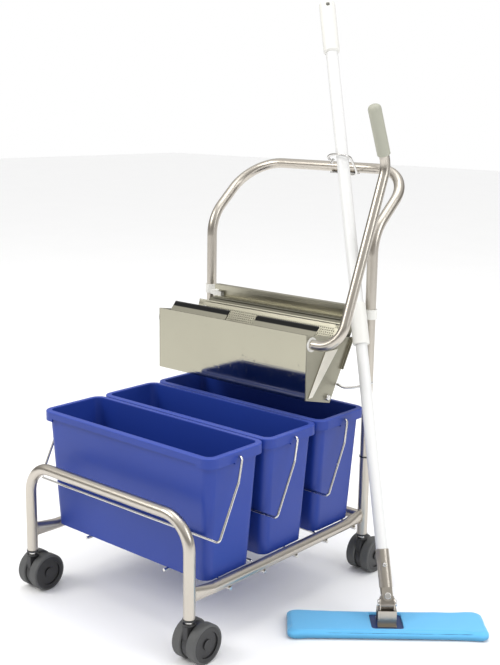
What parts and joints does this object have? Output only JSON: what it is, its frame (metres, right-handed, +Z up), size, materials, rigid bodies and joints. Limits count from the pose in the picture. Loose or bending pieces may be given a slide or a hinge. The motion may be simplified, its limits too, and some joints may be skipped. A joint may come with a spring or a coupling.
{
  "type": "mop trolley with buckets and press wringer",
  "caption": "Tube-framed mopping trolley with oblong buckets, a lever press wringer, twin-wheel casters and a telescopic flat mop.",
  "frame": {"origin": "on the floor, midway between the four caster swivel axes", "axes": "+X to the trolley's right, -Y to its front where the first bucket is, +Z up"},
  "size_m": [0.8409, 0.7177, 1.2065],
  "materials": {
    "frame_steel": "polished stainless tube",
    "sheet_steel": "satin stainless sheet",
    "wire_steel": "bright drawn wire and pins",
    "black_plastic": "moulded black plastic",
    "wheel_rubber": "dark wheel with grey tread",
    "bucket_plastic": "moulded royal blue plastic",
    "grip_plastic": "beige-grey moulded grip",
    "white_plastic": "white moulded plastic",
    "white_tube": "white coated tube",
    "pad_fabric": "light blue smooth microfibre sleeve",
    "pad_plate": "navy moulded plate"
  },
  "bodies": {
    "trolley": {"front_loop": "frame_steel", "rear_leg_left": "frame_steel", "rear_leg_right": "frame_steel", "rear_cross_tube": "frame_steel", "push_handle": "frame_steel", "handle_spigots": "black_plastic", "side_rail_left": "frame_steel", "side_rail_right": "frame_steel", "bucket_cradle": "wire_steel", "stem_sockets": "black_plastic", "mop_hook": "wire_steel", "handle_rest": "wire_steel", "wringer_front_plate": "sheet_steel", "wringer_end_left": "sheet_steel", "wringer_end_right": "sheet_steel", "fixed_jaw": "sheet_steel", "back_rail": "sheet_steel", "rail_clips": "white_plastic", "shaft_bushes": "white_plastic", "jaw_pivot_rod": "wire_steel"},
    "caster_fl": {"caster_fl_hood": "black_plastic", "caster_fl_pins": "wire_steel"},
    "wheel_fl_left": {"caster_fl_wheel_left": "wheel_rubber"},
    "wheel_fl_right": {"caster_fl_wheel_right": "wheel_rubber"},
    "caster_fr": {"caster_fr_hood": "black_plastic", "caster_fr_pins": "wire_steel"},
    "wheel_fr_left": {"caster_fr_wheel_left": "wheel_rubber"},
    "wheel_fr_right": {"caster_fr_wheel_right": "wheel_rubber"},
    "caster_rl": {"caster_rl_hood": "black_plastic", "caster_rl_pins": "wire_steel"},
    "wheel_rl_left": {"caster_rl_wheel_left": "wheel_rubber"},
    "wheel_rl_right": {"caster_rl_wheel_right": "wheel_rubber"},
    "caster_rr": {"caster_rr_hood": "black_plastic", "caster_rr_pins": "wire_steel"},
    "wheel_rr_left": {"caster_rr_wheel_left": "wheel_rubber"},
    "wheel_rr_right": {"caster_rr_wheel_right": "wheel_rubber"},
    "bucket_front": {"bucket_front": "bucket_plastic"},
    "bail_front": {"bail_front": "wire_steel"},
    "bucket_middle": {"bucket_middle": "bucket_plastic"},
    "bail_middle": {"bail_middle": "wire_steel"},
    "bucket_rear": {"bucket_rear": "bucket_plastic"},
    "bail_rear": {"bail_rear": "wire_steel"},
    "lever": {"lever_tube": "frame_steel", "lever_grip": "grip_plastic", "paddle_left": "sheet_steel", "paddle_right": "sheet_steel", "paddle_screws": "wire_steel"},
    "press_jaw": {"moving_jaw": "sheet_steel"},
    "mop_handle": {"mop_ferrule": "sheet_steel", "lower_tube": "white_tube"},
    "snap_button": {"snap_button": "wire_steel"},
    "mop_upper": {"upper_tube": "white_tube", "mop_grip": "white_plastic"},
    "twist_collar": {"twist_collar": "white_plastic"},
    "mop_yoke": {"mop_yoke": "sheet_steel", "yoke_pins": "wire_steel"},
    "mop_head": {"mop_sleeve": "pad_fabric", "mop_plate": "pad_plate", "mop_bracket": "sheet_steel"}
  },
  "joints": [
    {"name": "swivel_fl", "type": "hinge", "parent": "trolley", "child": "caster_fl", "pos_m": [-0.222, -0.265, 0.078], "axis": [0, 0, 1], "continuous": true},
    {"name": "roll_fl_left", "type": "hinge", "parent": "caster_fl", "child": "wheel_fl_left", "pos_m": [-0.222, -0.245, 0.0375], "axis": [1, 0, 0], "continuous": true},
    {"name": "roll_fl_right", "type": "hinge", "parent": "caster_fl", "child": "wheel_fl_right", "pos_m": [-0.222, -0.245, 0.0375], "axis": [1, 0, 0], "continuous": true},
    {"name": "swivel_fr", "type": "hinge", "parent": "trolley", "child": "caster_fr", "pos_m": [0.222, -0.265, 0.078], "axis": [0, 0, 1], "continuous": true},
    {"name": "roll_fr_left", "type": "hinge", "parent": "caster_fr", "child": "wheel_fr_left", "pos_m": [0.222, -0.245, 0.0375], "axis": [1, 0, 0], "continuous": true},
    {"name": "roll_fr_right", "type": "hinge", "parent": "caster_fr", "child": "wheel_fr_right", "pos_m": [0.222, -0.245, 0.0375], "axis": [1, 0, 0], "continuous": true},
    {"name": "swivel_rl", "type": "hinge", "parent": "trolley", "child": "caster_rl", "pos_m": [-0.222, 0.265, 0.078], "axis": [0, 0, 1], "continuous": true},
    {"name": "roll_rl_left", "type": "hinge", "parent": "caster_rl", "child": "wheel_rl_left", "pos_m": [-0.222, 0.285, 0.0375], "axis": [1, 0, 0], "continuous": true},
    {"name": "roll_rl_right", "type": "hinge", "parent": "caster_rl", "child": "wheel_rl_right", "pos_m": [-0.222, 0.285, 0.0375], "axis": [1, 0, 0], "continuous": true},
    {"name": "swivel_rr", "type": "hinge", "parent": "trolley", "child": "caster_rr", "pos_m": [0.222, 0.265, 0.078], "axis": [0, 0, 1], "continuous": true},
    {"name": "roll_rr_left", "type": "hinge", "parent": "caster_rr", "child": "wheel_rr_left", "pos_m": [0.222, 0.285, 0.0375], "axis": [1, 0, 0], "continuous": true},
    {"name": "roll_rr_right", "type": "hinge", "parent": "caster_rr", "child": "wheel_rr_right", "pos_m": [0.222, 0.285, 0.0375], "axis": [1, 0, 0], "continuous": true},
    {"name": "bucket_front_lift", "type": "slide", "parent": "trolley", "child": "bucket_front", "axis": [0, 0, 1], "range_m": [0, 0.3]},
    {"name": "bail_front_swing", "type": "hinge", "parent": "bucket_front", "child": "bail_front", "pos_m": [0, -0.1482, 0.3625], "axis": [-1, 0, 0], "range_deg": [0, 14]},
    {"name": "bucket_middle_lift", "type": "slide", "parent": "trolley", "child": "bucket_middle", "axis": [0, 0, 1], "range_m": [0, 0.03]},
    {"name": "bail_middle_swing", "type": "hinge", "parent": "bucket_middle", "child": "bail_middle", "pos_m": [0, 0.0115, 0.3625], "axis": [-1, 0, 0], "range_deg": [0, 8]},
    {"name": "bucket_rear_lift", "type": "slide", "parent": "trolley", "child": "bucket_rear", "axis": [0, 0, 1], "range_m": [0, 0.015]},
    {"name": "bail_rear_swing", "type": "hinge", "parent": "bucket_rear", "child": "bail_rear", "pos_m": [0, 0.1712, 0.3625], "axis": [-1, 0, 0], "range_deg": [0, 8]},
    {"name": "lever_swing", "type": "hinge", "parent": "trolley", "child": "lever", "pos_m": [0, 0.093, 0.525], "axis": [1, 0, 0], "range_deg": [0, 60]},
    {"name": "jaw_swing", "type": "hinge", "parent": "trolley", "child": "press_jaw", "pos_m": [0, 0.148, 0.408], "axis": [-1, 0, 0], "range_deg": [0, 9]},
    {"name": "mop_lift", "type": "slide", "parent": "trolley", "child": "mop_handle", "axis": [-0.3468, 0.2651, 0.8997], "range_m": [0, 0.04]},
    {"name": "mop_telescope", "type": "slide", "parent": "mop_handle", "child": "mop_upper", "axis": [-0.3468, 0.2651, 0.8997], "range_m": [-0.06, 0.18]},
    {"name": "collar_twist", "type": "hinge", "parent": "mop_upper", "child": "twist_collar", "pos_m": [0.23735, 0.21499, 0.51056], "axis": [-0.3468, 0.2651, 0.8997], "range_deg": [0, 90]},
    {"name": "button_press", "type": "slide", "parent": "mop_handle", "child": "snap_button", "axis": [-0.5914, 0.6827, -0.4291], "range_m": [0, 0.0022], "stiffness_N_per_m": 400},
    {"name": "yoke_tilt", "type": "hinge", "parent": "mop_handle", "child": "mop_yoke", "pos_m": [0.4083, 0.08429, 0.067], "axis": [-0.5914, 0.6827, -0.4291], "range_deg": [-25, 8]},
    {"name": "head_tilt", "type": "hinge", "parent": "mop_yoke", "child": "mop_head", "pos_m": [0.41195, 0.08008, 0.05526], "axis": [0.7559, 0.6547, 0], "range_deg": [-25, 25]}
  ],
  "couplings": [
    {"joint": "jaw_swing", "follows": "lever_swing", "ratio": 0.15}
  ]
}
